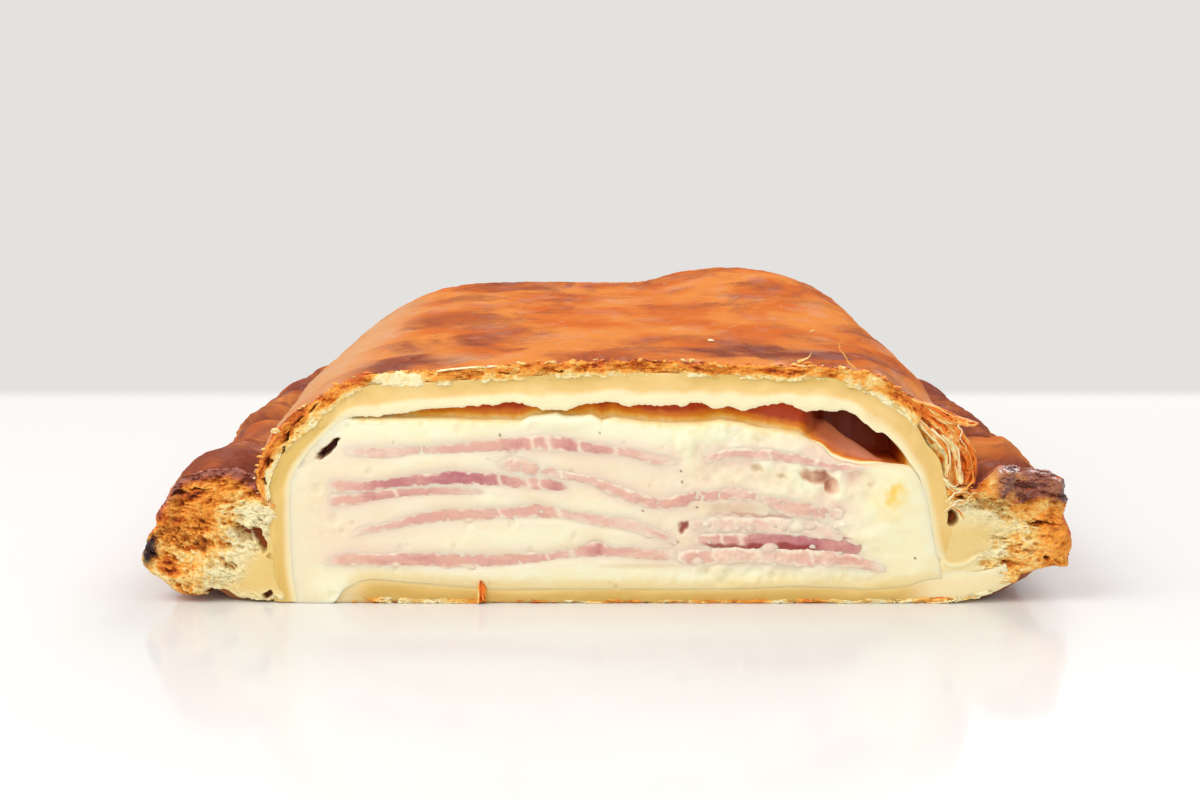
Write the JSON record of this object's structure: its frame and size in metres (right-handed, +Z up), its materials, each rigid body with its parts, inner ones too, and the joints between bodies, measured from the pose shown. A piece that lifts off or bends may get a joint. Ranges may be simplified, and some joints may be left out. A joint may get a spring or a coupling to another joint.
{
  "type": "puff pastry parcel",
  "caption": "Domed puff pastry parcel with a thick crimped rim, cut across to show folded ham slices in pale cheese sauce.",
  "frame": {"origin": "under the middle of the parcel, on the surface it rests on", "axes": "+X across the parcel to the right of the cut face, +Y from the cut face to the back end, +Z up"},
  "size_m": [0.19, 0.25, 0.0495],
  "materials": {
    "baked_crust": "egg-washed baked crust, flaky at its edges",
    "pale_dough": "soft half-baked dough, pale and slightly moist",
    "cheese_sauce": "set cheese sauce, smooth and moist",
    "cooked_ham": "thin cooked ham, moist"
  },
  "bodies": {
    "root": {"pastry_base": "pale_dough", "pastry_lid": "baked_crust", "cheese_sauce": "cheese_sauce", "ham_1_left": "cooked_ham", "ham_1_right": "cooked_ham", "ham_2_left": "cooked_ham", "ham_2_fold": "cooked_ham", "ham_2_right": "cooked_ham", "ham_3_fold": "cooked_ham", "ham_3_left": "cooked_ham", "ham_3_right": "cooked_ham", "ham_4_left": "cooked_ham", "ham_4_right": "cooked_ham"}
  },
  "joints": []
}
